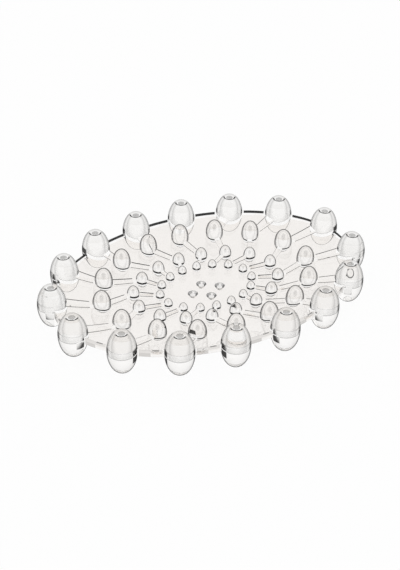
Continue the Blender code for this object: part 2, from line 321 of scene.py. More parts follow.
def ringAngles(size, count, first=0.5):
    # Evenly spaced along the ellipse's outline, anticlockwise from +X.
    angle = np.linspace(0.0, math.tau, outlineSteps + 1)
    steps = np.diff(ellipse(size, angle), axis=0)
    run = np.concatenate([[0.0], np.cumsum(np.hypot(steps[:, 0], steps[:, 1]))])
    share = (np.arange(count) + first) / count + size.get("turn", 0.0) / 360.0
    laps = np.floor(share)
    return np.interp((share - laps) * run[-1], run, angle) + math.tau * laps


def ringPoints(name, count=dish["drops"], first=0.5):
    return ellipse(rings[name], ringAngles(rings[name], count, first))


def edgeOutward(angle):
    return unit(np.stack([np.cos(angle) / dish["length"], np.sin(angle) / dish["width"]], -1))


def edgePoint(angle, inset=0.0):
    return ellipse(dish, angle) - edgeOutward(angle) * inset


def rimShare(place):
    # 0 at the saucer's centre, 1 all along its edge.
    return np.hypot(place[..., 0] / (dish["length"] / 2), place[..., 1] / (dish["width"] / 2))


def thickness(place):
    return dish["centreThickness"] + rimGain * rimShare(place) ** dish["thicknessCurve"]


def floorTop(place):
    return equator + dish["rise"] - dish["depth"] * (1.0 - rimShare(place) ** dish["curve"])


def floorBottom(place):
    return floorTop(place) - thickness(place)


def floorNormal(place, side=1):
    # Square to the saucer's upper face (side 1) or its underside (side -1), pointing up.
    x = place[..., 0] / (dish["length"] / 2) ** 2
    y = place[..., 1] / (dish["width"] / 2) ** 2
    share = np.maximum(rimShare(place), atCentre)
    slope = dish["depth"] * dish["curve"] * share ** (dish["curve"] - 2.0)
    if side < 0:
        slope = slope - rimGain * dish["thicknessCurve"] * share ** (dish["thicknessCurve"] - 2.0)
    return unit(np.stack([-slope * x, -slope * y, np.ones_like(x)], -1))


def solve(test, low, high):
    # Halves the span between a place where the test is false and one where it is true.
    for step in range(halvings):
        middle = (low + high) / 2
        if test(middle):
            high = middle
        else:
            low = middle
    return (low + high) / 2


rimGain = dish["rimThickness"] - dish["centreThickness"]
rimAngles = ringAngles(dish, dish["drops"])
rimPlaces = edgePoint(rimAngles)
rimOutwards = edgeOutward(rimAngles)


# Mesh building

smoothAngle = 40.0  # degrees: a sharper edge than this shows as an edge


def makePiece(name, shell, looks=None, normals=None):
    looks = list(dict.fromkeys(shell.kinds)) if looks is None else looks
    mesh = bpy.data.meshes.new(name)
    mesh.from_pydata([tuple(map(float, v)) for v in shell.verts], [], shell.faces)
    for look in looks:
        mesh.materials.append(plastic[look])
    if looks:
        mesh.polygons.foreach_set("material_index", [looks.index(kind) for kind in shell.kinds])
    mesh.shade_smooth()
    if normals is None:
        mesh.set_sharp_from_angle(angle=math.radians(smoothAngle))
    else:
        mesh.normals_split_custom_set(normals)
    mesh.update()
    item = bpy.data.objects.new(name, mesh)
    scene.collection.objects.link(item)
    return item


def settle(item, helpers, crease=smoothAngle):
    # Turns what the item's modifiers make into its plain mesh, and removes the objects they used.
    bpy.context.view_layer.update()
    mesh = bpy.data.meshes.new_from_object(item.evaluated_get(bpy.context.evaluated_depsgraph_get()))
    item.modifiers.clear()
    item.data = mesh
    for helper in helpers:
        bpy.data.objects.remove(helper, do_unlink=True)
    mesh.shade_smooth()
    mesh.set_sharp_from_angle(angle=math.radians(crease))
    return item


def dress(item, nodes):
    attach(item, "root")
    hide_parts(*nodes)
    print(item.name + ":", len(item.data.polygons), "faces")


class Shell:  # the vertices and faces of one piece; a face's kind names its finish
    def __init__(self):
        self.verts = []
        self.faces = []
        self.kinds = []

    def add(self, point):
        self.verts.append(tuple(point))
        return len(self.verts) - 1

    def ring(self, points):
        return [self.add(point) for point in points]

    def face(self, corners, kind):
        self.faces.append(tuple(corners))
        self.kinds.append(kind)

    def band(self, low, high, kinds):
        # Quads between two rings of equal count; kinds is one kind or one for each quad.
        for i in range(len(low)):
            j = (i + 1) % len(low)
            self.face((low[i], low[j], high[j], high[i]), kinds if isinstance(kinds, str) else kinds[i])

    def fan(self, ring, tip, kind, flip):
        for i in range(len(ring)):
            j = (i + 1) % len(ring)
            self.face((ring[j], ring[i], tip) if flip else (ring[i], ring[j], tip), kind)


# Rim drops

rimDrop = {
    "diameter": 11.9 * mm,
    "halfHeight": 9.76 * mm,
    "lowerFullness": 0.86,
    "footFlat": 2.9 * mm,
    "dimple": 5.5 * mm,
    "groove": 0.18 * mm,  # the fine parting line round the widest section
    "rows": 26,
    "outerSteps": 40,
    "innerSteps": 12,
    "ribSteps": 8,
    "mouthSteps": 7,  # steps at each end of the outer side that take painted shade at the slot for the plate
    "lowerCollar": 1.0 * mm,  # the lower half's even rows end so far from its cut
    "jointRings": (0.6, 0.05),  # rings across the joint, as shares of its radius
    "jointLift": 0.3 * mm,  # the joint's middle lies so far above or below the widest section
    "reach": 0.45,  # a drop's angle along the edge stays under this share of the step between drops
}
footAngle = math.acos((rimDrop["footFlat"] / rimDrop["diameter"]) ** (1.0 / rimDrop["lowerFullness"]))
equator = rimDrop["halfHeight"] * math.sin(footAngle)  # height of the rim drops' widest section
dropHalves = {  # the half above the widest section, and the one below it
    1: {
        "tipAngle": math.acos(rimDrop["dimple"] / rimDrop["diameter"]),
        "tipRings": (  # radius, depth below the tip, and the finish outward from there
            # The dimple's rings take painted shade on its floor and wall.
            (0.7 * mm, 0.5 * mm, "dimpleFloor"), (1.288 * mm, 0.5 * mm, "dimpleFloor"),
            (1.47 * mm, 0.4 * mm, "clearInner"), (2.035 * mm, 0.175 * mm, "dimpleWall")),
        "tip": "dimpleFloor",
        "wall": ("clearDrop", "clearDrop"),  # towards the plate, and away from it
        "waist": ("clearWaist", "clearWaist"),
        "ledge": "ledgeShadeLine",
        "waistRows": 5,
        "softRow": 6,  # the row that takes a soft band of painted shade where the plate's edge shows
    },
    -1: {
        "tipAngle": footAngle,
        # The second ring's band is a painted shade ring round the foot's flat.
        "tipRings": ((0.725 * mm, 0.0, None), (1.363 * mm, 0.0, "dropShadeLine")),
        "tip": "clearFoot",
        "wall": ("clearInner", "clearFoot"),
        "waist": ("clearInner", "clearFoot"),
        "ledge": "clearFoot",
        "waistRows": 6,
        "softRow": None,
    },
}
Column = namedtuple("Column", "heading height groove underRib")


def dropRadius(height):
    # A rim drop's radius at a height above its widest section.
    share = np.sqrt(np.maximum(1.0 - (height / rimDrop["halfHeight"]) ** 2, 0.0))
    return rimDrop["diameter"] / 2 * np.where(height > 0, share, share ** rimDrop["lowerFullness"])


def bevelLevel(face, step):
    bend = math.pi / 2 * step / dish["bevelSteps"]
    return {"face": face, "bend": bend, "inset": dish["bevel"] * (1 - math.sin(bend)),
            "drop": dish["bevel"] * (1 - math.cos(bend))}


# The plate's edge, level by level from its top face round to its underside.
edgeLevels = [bevelLevel("top", step) for step in range(dish["bevelSteps"] + 1)]
edgeLevels += [{"face": "seam", "bend": math.pi / 2, "inset": 0.0, "drop": drop}
               for drop in (0.0, dish["band"])]
edgeLevels += [bevelLevel("bottom", step) for step in range(dish["bevelSteps"], -1, -1)]
seam = dish["bevelSteps"] + 1  # the level of the rim drops' widest section


def levelPoint(level, angle):
    place = edgePoint(angle, level["inset"])
    if level["face"] == "top":
        height = floorTop(place) - level["drop"]
    elif level["face"] == "bottom":
        height = floorBottom(place) + level["drop"]
    else:
        height = np.full(place.shape[:-1], equator - level["drop"])
    return np.concatenate([place, height[..., None]], -1)


def levelCrossing(level, number, side):
    # Where one level of the plate's edge leaves a rim drop, as an angle of the ellipse.
    def outside(angle):
        point = levelPoint(level, np.array(angle))
        reach = math.hypot(point[0] - rimPlaces[number][0], point[1] - rimPlaces[number][1])
        return reach > dropRadius(point[2] - equator)

    start = rimAngles[number]
    return solve(outside, start, start + side * math.tau / dish["drops"] * rimDrop["reach"])


crossings = np.array([[[levelCrossing(level, number, side) for side in (-1, 1)]
                       for number in range(dish["drops"])] for level in edgeLevels])


def jointHeight(centre, direction, surface):
    # Height, above the widest section, at which a drop's wall meets a face of the plate.
    height = float(surface(centre)) - equator
    for step in range(refits):
        height = float(surface(centre + direction * dropRadius(height))) - equator
    return height


def dropColumns(number, side):
    # Round a drop's cut: along its outer side, in along the plate's edge, past the rib, and out
    # along the edge again. Directions are worked out from the drop's outward one.
    centre = rimPlaces[number]
    outward = math.atan2(rimOutwards[number][1], rimOutwards[number][0])
    surface = floorTop if side > 0 else floorBottom
    levels = range(seam, -1, -1) if side > 0 else range(seam, len(edgeLevels))
    ends = []
    for end in (0, 1):
        ends.append([])
        for index in levels:
            point = levelPoint(edgeLevels[index], np.array(crossings[index, number, end]))
            direction = math.atan2(point[1] - centre[1], point[0] - centre[0]) - outward
            ends[end].append(((direction + math.pi) % math.tau - math.pi, point[2] - equator))
    near, far = ends
    found = []
    steps = rimDrop["outerSteps"]
    for step in range(steps + 1):
        groove = 0.0 if step in (0, steps) else rimDrop["groove"]
        found.append((near[0][0] + (far[0][0] - near[0][0]) * step / steps, 0.0, groove, False))
    found += [(direction, height, 0.0, False) for direction, height in far[1:]]
    ribSides = sorted((math.atan2(*(ribEdge(number, across, 0.0) - centre)[::-1]) - outward) % math.tau
                      for across in (1, -1))
    stops = [far[-1][0], *ribSides, near[-1][0] + math.tau]
    inner = []
    for part, count in enumerate((rimDrop["innerSteps"], rimDrop["ribSteps"], rimDrop["innerSteps"])):
        inner += [(between(stops[part], stops[part + 1], step / count), part == 1) for step in range(count)]
    for direction, underRib in inner[1:]:  # the first of them is the last on the plate's edge
        height = jointHeight(centre, heading(direction + outward), surface)
        found.append((direction, height, 0.0, underRib and side > 0))
    found += [(direction + math.tau, height, 0.0, False) for direction, height in near[:0:-1]]
    return [Column(heading(direction + outward), *rest) for direction, *rest in found]


def wallKind(side, row, column, mouth):
    # The finish of one quad: row 0 lies at the cut, higher ones nearer to the tip.
    half = dropHalves[side]
    outer = column.groove > 0
    # The groove's band, the ledge, the slot's mouths, the waist and the soft row take painted shade.
    if row < 0 or (row < 2 and column.underRib):
        return "bond"
    if row == 0 and outer and not mouth:
        return "dropShadeLine"
    if row == 0 and not outer:
        return half["ledge"]
    if 0 < row <= half["waistRows"]:
        return "slotMouth" if mouth else half["waist"][outer]
    if row == half["softRow"] and outer:
        return "seamShade"
    return half["wall"][outer]


def dropWall(shell, number, side):
    # One half of a rim drop: its tip, its wall down to the cut, and the joint across it.
    half = dropHalves[side]
    centre = rimPlaces[number]
    columns = dropColumns(number, side)
    surface = floorTop if side > 0 else floorBottom
    collar = rib["height"] if side > 0 else rimDrop["lowerCollar"]
    tall = rimDrop["halfHeight"]
    tip = side * tall * math.sin(half["tipAngle"])
    rows = rimDrop["rows"]
    built = []

    def addRing(heights, radii=None):
        radii = [dropRadius(height) for height in heights] if radii is None else radii
        built.append(shell.ring((*(centre + column.heading * radius), equator + height)
                                for column, height, radius in zip(columns, heights, radii)))

    tipPoint = shell.add((*centre, equator + tip - side * half["tipRings"][0][1]))
    for radius, depth, kind in half["tipRings"]:
        addRing([tip - side * depth] * len(columns), [radius] * len(columns))
    ends = [side * math.asin((column.height + side * collar) / tall) for column in columns]
    for row in range(rows + 1):
        addRing([side * tall * math.sin(between(half["tipAngle"], end, row / rows)) for end in ends])
    addRing([column.height + side * rimDrop["groove"] for column in columns])
    radii = [float(dropRadius(column.height)) - column.groove for column in columns]
    addRing([column.height for column in columns], radii)
    cut = len(built) - 1
    for share in rimDrop["jointRings"]:
        places = [centre + column.heading * radius * share for column, radius in zip(columns, radii)]
        built.append(shell.ring((*place, float(surface(place)) if column.height else equator)
                                for place, column in zip(places, columns)))
    middle = shell.add((*centre, equator + side * rimDrop["jointLift"]))
    steps = rimDrop["outerSteps"]
    mouths = [index < rimDrop["mouthSteps"] or steps - rimDrop["mouthSteps"] <= index < steps
              for index in range(len(columns))]
    for index, (low, high) in enumerate(zip(built, built[1:])):
        kinds = half["tipRings"][index][2] if index < len(half["tipRings"]) else None
        kinds = kinds or [wallKind(side, cut - 1 - index, *pair) for pair in zip(columns, mouths)]
        if side > 0:
            low, high = high, low
        shell.band(low, high, kinds)
    shell.fan(built[0], tipPoint, half["tip"], flip=side < 0)
    shell.fan(built[-1], middle, "bond", flip=side > 0)


def buildRimDrops(name, side):
    shell = Shell()
    for number in range(dish["drops"]):
        dropWall(shell, number, side)
    return makePiece(name, shell)


# Ribs, and the drops on them

innerDrops = {  # whole eggs: rise is the tip's height above the saucer, the rest comes out below
    "mid": {"diameter": 7.5 * mm, "height": 12.0 * mm, "rise": 7.4 * mm, "segments": 40, "rows": 18,
            "line": 0.60 * mm, "cup": 0.15 * mm},  # heights of the painted shade lines where they meet the plate
    "small": {"diameter": 5.3 * mm, "height": 8.5 * mm, "rise": 4.3 * mm, "segments": 32, "rows": 14,
              "line": 0.80 * mm, "cup": 0.25 * mm},
    "tiny": {"diameter": 3.8 * mm, "height": 6.1 * mm, "rise": 3.0 * mm, "segments": 28, "rows": 12,
             "line": 0.80 * mm, "cup": 0.30 * mm},
}
sunk = 0.05 * mm  # how far a turned body's cemented end reaches into the plate
rib = {
    "height": 1.2 * mm,
    "widths": (4.8 * mm, 2.6 * mm, 1.8 * mm, 1.0 * mm),  # at the rim drop and at each inner drop
    "corner": 0.35 * mm,
    "cornerSteps": 5,
    "crestRows": 3,  # the upper rows of each corner, drawn as its crest with painted shade
    "crease": 35.0,  # degrees, sharp enough to show where its drops stand on it
    "steps": 12,
    "line": 0.22 * mm,  # how high the painted shade line at the foot of its sides is
    "clearOf": 1.10,  # nearer to an inner drop's axis than so many of its radii, the rib has no painted shade lines
    "pastDrop": 1.08,  # its even steps begin so many radii from the rim drop's axis
    "reach": 0.6,  # it leaves the rim drop before this share of its first stretch
    "startHalf": 0.42,  # half its width there, as a share of its first width
    "overlap": 0.4,  # how far towards that place its footprint begins, inside the rim drop's own
}


def ribEdge(number, offset, lift):
    # Where a line along the rib comes out of the rim drop; offset is a share of half its width.
    start = rimPlaces[number]
    run = ringPoints("mid")[number] - start
    ahead = unit(run)
    across = np.array([-ahead[1], ahead[0]])

    def at(share):
        return start + run * share + across * offset * between(*rib["widths"][:2], share) / 2

    def outside(share):
        point = at(share)
        return np.linalg.norm(point - start) > dropRadius(floorTop(point) + lift - equator)

    return at(solve(outside, 0.0, rib["reach"]))


def ribStations(number):
    # Along one rib, from its rim drop to its innermost drop: place, width, direction across it.
    stops = [rimPlaces[number]] + [ringPoints(name)[number] for name in innerDrops]
    spots = []
    for part in range(len(innerDrops)):
        for step in range(rib["steps"]):
            spots.append([between(values[part], values[part + 1], step / rib["steps"])
                          for values in (stops, rib["widths"])])
    spots.append([stops[-1], rib["widths"][-1]])
    stations = []
    for index, (place, width) in enumerate(spots):
        before = spots[max(index - 1, 0)][0]
        after = spots[min(index + 1, len(spots) - 1)][0]
        if index < rib["steps"]:
            before, after = stops[0], stops[1]
        ahead = unit(after - before)
        if np.linalg.norm(place - stops[0]) > rimDrop["diameter"] / 2 * rib["pastDrop"]:
            stations.append((place, width, np.array([-ahead[1], ahead[0]])))
    return stations


def ribOutline(number):
    # The rib's footprint on the plate: right side out, left side back.
    left, right = ([ribEdge(number, side, 0.0)]
                   + [place + across * width / 2 * side for place, width, across in ribStations(number)]
                   for side in (1, -1))
    return [between(rimPlaces[number], (left[0] + right[0]) / 2, rib["overlap"])] + right + left[::-1]


def ribSection():
    # Round the rib's section: offset as a share of half its width, height above the plate, and inset.
    rising = [(0.0, 0.0), (rib["line"], 0.0)]
    for step in range(rib["cornerSteps"] + 1):
        bend = math.pi / 2 * step / rib["cornerSteps"]
        inset = rib["corner"] * (1 - math.cos(bend))
        rising.append((rib["height"] - rib["corner"] * (1 - math.sin(bend)), inset))
    right, left = ([(side, height, side * inset) for height, inset in rising] for side in (1, -1))
    return [left[0], (0, 0.0, 0.0)] + right + [(0, rib["height"], 0.0)] + left[:0:-1]


def addRib(shell, number):
    stations = ribStations(number)
    firstHalf = rib["widths"][0] * rib["startHalf"]
    loops = []
    for station in [None] + stations:
        points = []
        for offset, lift, inset in ribSection():
            if station is None:
                spot = ribEdge(number, offset - inset / firstHalf, lift)
            else:
                place, width, across = station
                spot = place + across * (offset * width / 2 - inset)
            points.append((*spot, float(floorTop(spot)) + lift))
        loops.append(shell.ring(points))
    drops = [(ringPoints(name)[number], drop["diameter"] / 2) for name, drop in innerDrops.items()]
    # The foot, wall and crest rows of the rib's sides carry painted shade lines.
    wallRows = rib["cornerSteps"] + 1 - rib["crestRows"]
    sideRows = ["ribFoot"] + ["ribWall"] * wallRows + ["ribCrest"] * rib["crestRows"]
    for (place, width, across), low, high in zip(stations, loops, loops[1:]):
        near = any(np.linalg.norm(place - centre) < radius * rib["clearOf"] for centre, radius in drops)
        rising = ["clearPlate"] * len(sideRows) if near else sideRows
        shell.band(high, low, ["bond"] * 2 + rising + ["clearPlate"] * 2 + rising[::-1])
    shell.face(loops[0], "bond")
    shell.face(loops[-1][::-1], "clearPlate")


def eggRadius(drop, height):
    # An inner drop's radius at a height above the saucer's upper face.
    half = drop["height"] / 2
    return drop["diameter"] / 2 * math.sqrt(1.0 - ((height - drop["rise"] + half) / half) ** 2)


def turned(name, profile, tip, segments, kinds, side):
    # A turned body, ready for a ring: profile holds (radius, height) from its cemented end on.
    shell = Shell()
    built = [shell.ring((*spot, height) for spot in circle(np.zeros(2), radius, segments))
             for radius, height in profile]
    for low, high, kind in zip(built, built[1:], kinds):
        if side < 0:
            low, high = high, low
        shell.band(low, high, kind)
    shell.fan(built[0], shell.add((0.0, 0.0, profile[0][1])), "Bond", flip=side > 0)
    shell.fan(built[-1], shell.add((0.0, 0.0, tip)), "Clear", flip=side < 0)
    item = makePiece(name, shell, [])
    grip = item.data.attributes.new("grip", "FLOAT", "POINT")
    grip.data.foreach_set("value", [1.0 - max(z / tip, 0.0) for x, y, z in shell.verts])
    kind = item.data.attributes.new("kind", "INT", "FACE")
    kind.data.foreach_set("value", [bodyKinds.index(label) for label in shell.kinds])
    return item


def turnedEgg(name, side):
    # An inner drop's end above the saucer (side 1) or, at a typical thickness, below it (side -1).
    drop = innerDrops[name]
    half = drop["height"] / 2
    middle = drop["rise"] - half
    face = 0.0 if side > 0 else -float(thickness(ringPoints(name)).mean())
    start = face + (drop["line"] if side > 0 else -drop["cup"])
    profile = [(eggRadius(drop, face), -side * sunk), (eggRadius(drop, face), 0.0),
               (eggRadius(drop, start), start - face)]
    rows = drop["rows"] if side > 0 else drop["rows"] // 2
    first = math.asin((start - middle) / half)
    for row in range(1, rows):
        angle = first + (side * math.pi / 2 - first) * row / rows
        profile.append((drop["diameter"] / 2 * math.cos(angle), middle + half * math.sin(angle) - face))
    # The Line band is a painted shade line where the egg meets the plate.
    kinds = ["Bond", "Line"] + ["Clear"] * (rows - 1)
    return turned(name + "Drop", profile, middle + side * half - face, drop["segments"], kinds, side)


bodyKinds = ("Clear", "Bond", "Line")  # the kinds of face on a turned body, each an input of the tree; Line faces carry painted shade


def buildRingTree():
    # Sets one turned body at even steps round an ellipse, and leans each onto the saucer's face.
    tree = bpy.data.node_groups.new("dropRing", "GeometryNodeTree")
    kinds = {"Geometry": ["Geometry"], "Object": ["Body"], "Int": ["Count"], "Material": bodyKinds,
             "Float": ["First", "Turn", "Ring Length", "Ring Width", "Dish Length", "Dish Width", "Level",
                       "Depth", "Curve", "Thickness", "Rim Gain", "Rim Curve"]}
    for kind, names in kinds.items():
        for name in names:
            tree.interface.new_socket(name, in_out="INPUT", socket_type="NodeSocket" + kind)
    tree.interface.new_socket("Geometry", in_out="OUTPUT", socket_type="NodeSocketGeometry")
    given = tree.nodes.new("NodeGroupInput")
    want = {name: Wire(tree, given.outputs[name]) for names in kinds.values() for name in names}

    def vector(x, y, z):
        return addNode(tree, "ShaderNodeCombineXYZ", inputs={0: x, 1: y, 2: z})

    def named(name, kind):
        return addNode(tree, "GeometryNodeInputNamedAttribute", {"data_type": kind}, {"Name": name})

    def face(place):
        split = addNode(tree, "ShaderNodeSeparateXYZ", inputs={0: place})
        x = split / want["Dish Length"] * 2.0
        y = Wire(tree, split.socket.node.outputs[1]) / want["Dish Width"] * 2.0
        share = (x * x + y * y) ** 0.5
        top = want["Level"] - want["Depth"] * (1.0 - share ** want["Curve"])
        return top - want["Thickness"] - want["Rim Gain"] * share ** want["Rim Curve"]

    loop = addNode(tree, "GeometryNodeCurvePrimitiveCircle", inputs={  # one unit across
        "Resolution": ringSteps, "Radius": 0.5})
    loop = addNode(tree, "GeometryNodeTransform", inputs={
        "Geometry": loop, "Scale": vector(want["Ring Length"], want["Ring Width"], 1.0)})
    index = addNode(tree, "GeometryNodeInputIndex")
    share = ((index + want["First"]) / want["Count"] + want["Turn"] / 360.0).maths("FRACT")
    spot = addNode(tree, "GeometryNodeSampleCurve", {"mode": "FACTOR"}, {
        "Curves": loop, "Factor": share}, output="Position")
    points = addNode(tree, "GeometryNodePoints", inputs={"Count": want["Count"], "Position": spot})
    points = addNode(tree, "GeometryNodeStoreNamedAttribute", {
        "data_type": "FLOAT_VECTOR", "domain": "POINT"}, {
        "Geometry": points, "Name": "centre", "Value": addNode(tree, "GeometryNodeInputPosition")})
    body = addNode(tree, "GeometryNodeObjectInfo", inputs={"Object": want["Body"]}, output="Geometry")
    bodies = addNode(tree, "GeometryNodeInstanceOnPoints", inputs={"Points": points, "Instance": body})
    solid = addNode(tree, "GeometryNodeRealizeInstances", inputs={"Geometry": bodies})
    middle = face(named("centre", "FLOAT_VECTOR"))
    own = face(addNode(tree, "GeometryNodeInputPosition"))
    lift = middle + (own - middle) * named("grip", "FLOAT")
    solid = addNode(tree, "GeometryNodeSetPosition", inputs={
        "Geometry": solid, "Offset": vector(0.0, 0.0, lift)})
    kind = named("kind", "INT")
    for number, name in enumerate(bodyKinds):
        chosen = kind.maths("COMPARE", kind, float(number), sameNumber)
        solid = addNode(tree, "GeometryNodeSetMaterial", inputs={
            "Geometry": solid, "Selection": chosen, "Material": want[name]})
    joined = addNode(tree, "GeometryNodeJoinGeometry", inputs={0: want["Geometry"]})
    tree.links.new(solid.socket, joined.socket.node.inputs[0])
    tree.links.new(joined.socket, tree.nodes.new("NodeGroupOutput").inputs[0])
    return tree


ringTree = buildRingTree()


def ringRow(name, body, count=dish["drops"], first=0.5):
    ring = rings[name]
    return {"Body": body, "Count": count, "First": first, "Turn": ring["turn"],
            "Ring Length": ring["length"], "Ring Width": ring["width"]}


def ringed(name, side, rows, looks, crease=smoothAngle):
    # One modifier for each ring of bodies, turned into a plain mesh.
    item = bpy.data.objects.new(name, bpy.data.meshes.new(name))
    scene.collection.objects.link(item)
    shared = {"Dish Length": dish["length"], "Dish Width": dish["width"], "Level": equator + dish["rise"],
              "Depth": dish["depth"], "Curve": dish["curve"], "Rim Curve": dish["thicknessCurve"],
              "Rim Gain": rimGain if side < 0 else 0.0,
              "Thickness": dish["centreThickness"] if side < 0 else 0.0}
    shared |= {kind: plastic[look] for kind, look in zip(bodyKinds, looks)}
    keys = {socket.name: socket.identifier for socket in ringTree.interface.items_tree
            if socket.in_out == "INPUT"}
    for row in rows:
        modifier = item.modifiers.new(row["Body"].name, "NODES")
        modifier.node_group = ringTree
        for key, value in (shared | row).items():
            modifier[keys[key]] = value
    settle(item, [row["Body"] for row in rows], crease)
    for leftover in ("centre", "grip", "kind"):
        item.data.attributes.remove(item.data.attributes[leftover])
    return item


def buildEggs(name, side, looks):
    return ringed(name, side, [ringRow(ring, turnedEgg(ring, side)) for ring in innerDrops], looks)


def buildRays():
    bars = Shell()
    for number in range(dish["drops"]):
        addRib(bars, number)
    item = makePiece("dropRays", bars, [
        "clearEgg", "bond", "ribWall", "eggBase", "clearPlate", "ribCrest", "ribFoot"])
    union = item.modifiers.new("union", "BOOLEAN")
    union.operation = "UNION"
    union.solver = "EXACT"
    union.material_mode = "TRANSFER"
    union.object = buildEggs("standingDrops", 1, ("clearEgg", "bond", "eggBase"))
    return settle(item, [union.object], rib["crease"])


# Studs under the plate's centre

stud = {
    "count": 4,
    "diameter": 4.4 * mm,
    "foot": 2.4 * mm,
    "height": 1.6 * mm,
    "lip": 0.4 * mm,  # height of the row of facets next to the plate that take painted shade
    "facets": 10,
    "crease": 5.0,  # degrees, so that each facet shows
}


def buildStuds():
    wide, foot, lip = stud["diameter"] / 2, stud["foot"] / 2, stud["lip"]
    profile = [(wide, sunk), (wide, 0.0), (wide - lip * (wide - foot) / stud["height"], -lip),
               (foot, -stud["height"])]
    # Line faces carry painted shade: the lip and every other facet.
    kinds = ["Bond", "Line", ["Line", "Clear"] * (stud["facets"] // 2)]
    body = turned("stud", profile, -stud["height"], stud["facets"], kinds, -1)
    row = ringRow("stud", body, stud["count"], 0.0)
    return ringed("centreStuds", -1, [row], ("clearStud", "bond", "studFacet"), stud["crease"])


# The plate

plateGrid = {
    "rings": 22,  # of points across each face
    "edgeGap": 0.6,  # from the last ring to the edge, in steps between rings
    "spacing": 3.0 * mm,  # from point to point along a ring
    "fewest": 8,
    "twist": 0.37,  # radians from ring to ring, so that no points line up
    "edgeInside": 6,  # steps of the edge inside a rim drop, and from one to the next
    "edgeBetween": 16,
    "dash": range(9, 13),  # the latter steps at which the upper edge has its dash of painted shade
    "grey": range(1, 8),  # and those at which the lower edge has greyer painted shade
    "upperShadeLine": 2,  # rows of the edge, from the top, that are drawn as lines of painted shade
    "lowerShadeLine": 9,
    "near": 1e-5,  # points closer than this, in mm, are one
}
edgeStretch = plateGrid["edgeInside"] + plateGrid["edgeBetween"]


def edgeRun(level):
    # The level's angles all round: inside each drop from crossing to crossing, then on to the next.
    angles = []
    for number in range(dish["drops"]):
        start, end = crossings[level, number]
        after = crossings[level, (number + 1) % dish["drops"], 0]
        if after < end:
            after += math.tau
        angles += list(np.linspace(start, end, plateGrid["edgeInside"], endpoint=False))
        angles += list(np.linspace(end, after, plateGrid["edgeBetween"], endpoint=False))
    return np.array(angles)


def edgeKinds(row):
    # The finishes along one row of the edge: row 0 is the uppermost.
    kinds = []
    # Painted shade: the dash, the lines and the greyer band below the widest section stand for dark
    # surroundings seen in the edge.
    for spot in range(plateGrid["edgeBetween"]):
        if spot in (0, plateGrid["edgeBetween"] - 1):
            kind = "clearPlate"
        elif row < dish["bevelSteps"] and spot in plateGrid["dash"]:
            kind = "rimShadeDash"
        elif row == plateGrid["upperShadeLine"]:
            kind = "rimShadeLine"
        elif row < seam or row == plateGrid["lowerShadeLine"]:
            kind = "rimWall"
        elif spot in plateGrid["grey"]:
            kind = "rimShadeBand" if row == seam else "rimPaleShade"
        else:
            kind = "rimBare" if row == seam else "clearPlate"
        kinds.append(kind)
    return (["bond"] * plateGrid["edgeInside"] + kinds) * dish["drops"]


def dropArc(number, side):
    # The stretch of a drop's outline that lies on the plate's top (side 1) or underside (side -1).
    inner = [column for column in dropColumns(number, side) if column.height != 0.0]
    skip = dish["bevelSteps"] + (1 if side > 0 else 2)
    return [rimPlaces[number] + float(dropRadius(column.height)) * column.heading
            for column in inner[skip:-skip]]


def plateFace(shell, side, prints):
    # One face of the plate, with the footprint of everything that is cemented to it cut into it.
    level = 0 if side > 0 else len(edgeLevels) - 1
    surface = floorTop if side > 0 else floorBottom
    points = list(levelPoint(edgeLevels[level], edgeRun(level))[:, :2])
    rim = len(points)
    polygons = [list(range(rim))]
    for number in range(dish["drops"]):
        # The arc runs from the drop's far crossing back to its near one.
        arc = dropArc(number, side)
        inside = [(number * edgeStretch + step) % rim for step in range(plateGrid["edgeInside"] + 1)]
        polygons.append(inside + list(range(len(points), len(points) + len(arc))))
        points += arc
    for outline in prints:
        polygons.append(list(range(len(points), len(points) + len(outline))))
        points += outline
    for ring in range(1, plateGrid["rings"] + 1):
        share = ring / (plateGrid["rings"] + plateGrid["edgeGap"])
        steps = math.pi * (dish["length"] + dish["width"]) / 2 * share / plateGrid["spacing"]
        angles = np.linspace(0, math.tau, max(plateGrid["fewest"], round(steps)), endpoint=False)
        points += list(ellipse(dish, angles + plateGrid["twist"] * ring) * share)
    # Output type 1 is the triangles inside the outlines; True asks for what each one comes from.
    scaled = [Vector(point / mm) for point in points]
    found = delaunay_2d_cdt(scaled, [], polygons, 1, plateGrid["near"], True)
    flat, triangles, sources, origins = (found[index] for index in (0, 2, 3, 5))
    place = np.array([tuple(point) for point in flat]) * mm
    made = [shell.add((*spot, height)) for spot, height in zip(place, surface(place))]
    for triangle, origin in zip(triangles, origins):
        bare = "clearPlate" if side > 0 else "clearUnder"
        shell.face([made[i] for i in triangle][::side], "bond" if any(o > 0 for o in origin) else bare)
    rimIndex = {old: made[index] for index, olds in enumerate(sources) for old in olds if old < rim}
    return [rimIndex[i] for i in range(rim)]


def plateNormals(shell, loops):
    place = np.array(shell.verts)[:, :2]
    height = np.array(shell.verts)[:, 2]
    middle = (floorTop(place) + floorBottom(place)) / 2
    normal = np.where((height > middle)[:, None], floorNormal(place), -floorNormal(place, -1))
    for loop, level in zip(loops, edgeLevels):
        points = place[loop]
        outward = unit(np.stack([points[:, 0] / dish["length"] ** 2, points[:, 1] / dish["width"] ** 2,
                                 np.zeros(len(points))], 1))
        face = -floorNormal(points, -1) if level["face"] == "bottom" else floorNormal(points)
        normal[loop] = unit(face * math.cos(level["bend"]) + outward * math.sin(level["bend"]))
    return [tuple(normal[vertex]) for face in shell.faces for vertex in face]


